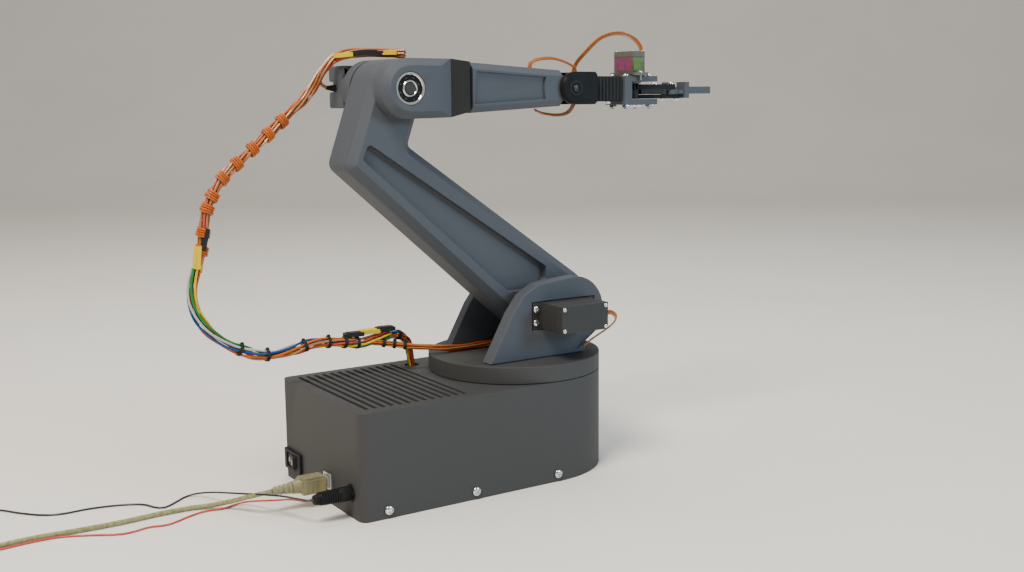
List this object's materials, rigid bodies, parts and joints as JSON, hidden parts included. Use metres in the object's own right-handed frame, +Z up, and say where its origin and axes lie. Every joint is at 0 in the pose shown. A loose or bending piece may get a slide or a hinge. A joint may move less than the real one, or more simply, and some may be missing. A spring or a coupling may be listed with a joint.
{
  "type": "scara robot arm",
  "caption": "Desktop articulated robot arm on a round-fronted base with a turntable, hobby servos at its joints, an open wiring loop and a geared parallel-jaw gripper.",
  "frame": {"origin": "on the waist's turning axis, at the underside of the base", "axes": "+X the way the arm reaches, +Z up, +Y to the side of the arm that holds the elbow servo"},
  "size_m": [0.6015, 0.1945, 0.322],
  "materials": {
    "base_black": "satin printed plastic",
    "arm_black": "satin graphite printed plastic",
    "servo_black": "fine matt moulding",
    "small_servo_case": "smoky translucent moulding",
    "board": "solder mask over fibreglass",
    "socket_steel": "bright plated sheet",
    "screw_steel": "bright zinc plate",
    "bearing_steel": "ground and polished",
    "pin_steel": "dark turned steel",
    "horn_aluminium": "turned",
    "socket_black": "moulded",
    "plug_olive": "clear olive moulding",
    "plug_black": "ribbed soft moulding",
    "cable_olive": "clear sheath over braid",
    "wire_red": "smooth insulation",
    "wire_black": "smooth insulation",
    "wire_bundle": "bundled wires",
    "wire_brown": "flat three-wire lead"
  },
  "bodies": {
    "base": {"base_shell": "base_black", "base_floor": "base_black", "base_screw_1": "screw_steel", "base_screw_2": "screw_steel", "base_screw_3": "screw_steel", "base_screw_4": "screw_steel", "base_screw_5": "screw_steel", "base_screw_6": "screw_steel", "yaw_servo": "servo_black", "control_board": "board", "usb_socket": "socket_steel", "dc_socket": "socket_black", "switch_frame": "socket_black", "usb_plug": "plug_olive", "usb_cable": "cable_olive", "usb_cable_coil": "cable_olive", "usb_a_plug": "plug_olive", "dc_plug": "plug_black", "red_wire": "wire_red", "black_wire": "wire_black", "red_wire_coil": "wire_red", "black_wire_coil": "wire_black"},
    "power_rocker": {"switch_rocker": "socket_black"},
    "waist": {"turntable": "base_black", "yaw_horn": "horn_aluminium", "waist_near_cheek": "arm_black", "waist_far_cheek": "arm_black", "shoulder_servo": "servo_black", "shoulder_bearing": "bearing_steel", "shoulder_servo_cable": "wire_bundle", "harness_lower": "wire_bundle"},
    "lower_arm": {"lower_arm_near": "arm_black", "lower_arm_far": "arm_black", "shoulder_horn": "horn_aluminium", "shoulder_pin": "pin_steel", "elbow_horn": "horn_aluminium", "elbow_pin": "pin_steel", "elbow_bearing_inner": "bearing_steel", "harness_upper": "wire_bundle"},
    "upper_arm": {"elbow_fork": "arm_black", "elbow_bearing_outer": "bearing_steel", "elbow_servo": "servo_black", "elbow_servo_cradle": "arm_black", "roll_servo": "servo_black"},
    "forearm": {"forearm_shell": "arm_black", "roll_horn": "horn_aluminium", "wrist_servo": "servo_black", "wrist_cable": "wire_brown"},
    "wrist": {"wrist_fork": "arm_black", "wrist_pivot_screw": "screw_steel", "gripper_neck": "arm_black", "gripper_base": "arm_black", "gripper_servo": "small_servo_case", "gripper_servo_cable": "wire_brown"},
    "gear_arm_near": {"gear_arm_near": "arm_black"},
    "gear_arm_far": {"gear_arm_far": "arm_black"},
    "link_near": {"link_near": "arm_black"},
    "link_far": {"link_far": "arm_black"},
    "jaw_near": {"jaw_near": "arm_black"},
    "jaw_far": {"jaw_far": "arm_black"}
  },
  "joints": [
    {"name": "power_switch", "type": "hinge", "parent": "base", "child": "power_rocker", "pos_m": [-0.1624, 0.0462, 0.0152], "axis": [0, 0, 1], "range_deg": [0, 14]},
    {"name": "waist_yaw", "type": "hinge", "parent": "base", "child": "waist", "pos_m": [0, 0, 0.08], "axis": [0, 0, 1], "range_deg": [-90, 90], "deforming": ["harness_lower"]},
    {"name": "shoulder", "type": "hinge", "parent": "waist", "child": "lower_arm", "pos_m": [0.029, 0, 0.117], "axis": [0, 1, 0], "range_deg": [-10, 70]},
    {"name": "elbow", "type": "hinge", "parent": "lower_arm", "child": "upper_arm", "pos_m": [-0.1028, 0, 0.2795], "axis": [0, 1, 0], "range_deg": [-90, 15], "deforming": ["harness_upper"]},
    {"name": "wrist_roll", "type": "hinge", "parent": "upper_arm", "child": "forearm", "pos_m": [-0.045, -0.0035, 0.2795], "axis": [1, 0, 0], "range_deg": [-90, 90]},
    {"name": "wrist_pitch", "type": "hinge", "parent": "forearm", "child": "wrist", "pos_m": [0.0445, 0, 0.2795], "axis": [0, 1, 0], "range_deg": [-45, 45], "deforming": ["wrist_cable", "gripper_servo_cable"]},
    {"name": "gripper_drive", "type": "hinge", "parent": "wrist", "child": "gear_arm_near", "pos_m": [0.1067, -0.0089, 0.2803], "axis": [0, 0, -1], "range_deg": [-6.5, 30]},
    {"name": "gripper_gear_far", "type": "hinge", "parent": "wrist", "child": "gear_arm_far", "pos_m": [0.1067, 0.0019, 0.2803], "axis": [0, 0, -1], "range_deg": [-30, 6.5]},
    {"name": "gripper_link_near", "type": "hinge", "parent": "wrist", "child": "link_near", "pos_m": [0.1135, -0.0071, 0.2728], "axis": [0, 0, -1], "range_deg": [-6.5, 30]},
    {"name": "gripper_link_far", "type": "hinge", "parent": "wrist", "child": "link_far", "pos_m": [0.1135, 0.0001, 0.2728], "axis": [0, 0, -1], "range_deg": [-30, 6.5]},
    {"name": "jaw_pivot_near", "type": "hinge", "parent": "gear_arm_near", "child": "jaw_near", "pos_m": [0.14037, -0.01363, 0.2768], "axis": [0, 0, -1], "range_deg": [-30, 6.5]},
    {"name": "jaw_pivot_far", "type": "hinge", "parent": "gear_arm_far", "child": "jaw_far", "pos_m": [0.14037, 0.00663, 0.2768], "axis": [0, 0, -1], "range_deg": [-6.5, 30]}
  ],
  "couplings": [
    {"joint": "gripper_gear_far", "follows": "gripper_drive", "ratio": -1},
    {"joint": "gripper_link_near", "follows": "gripper_drive", "ratio": 1},
    {"joint": "gripper_link_far", "follows": "gripper_drive", "ratio": -1},
    {"joint": "jaw_pivot_near", "follows": "gripper_drive", "ratio": -1},
    {"joint": "jaw_pivot_far", "follows": "gripper_drive", "ratio": 1}
  ]
}
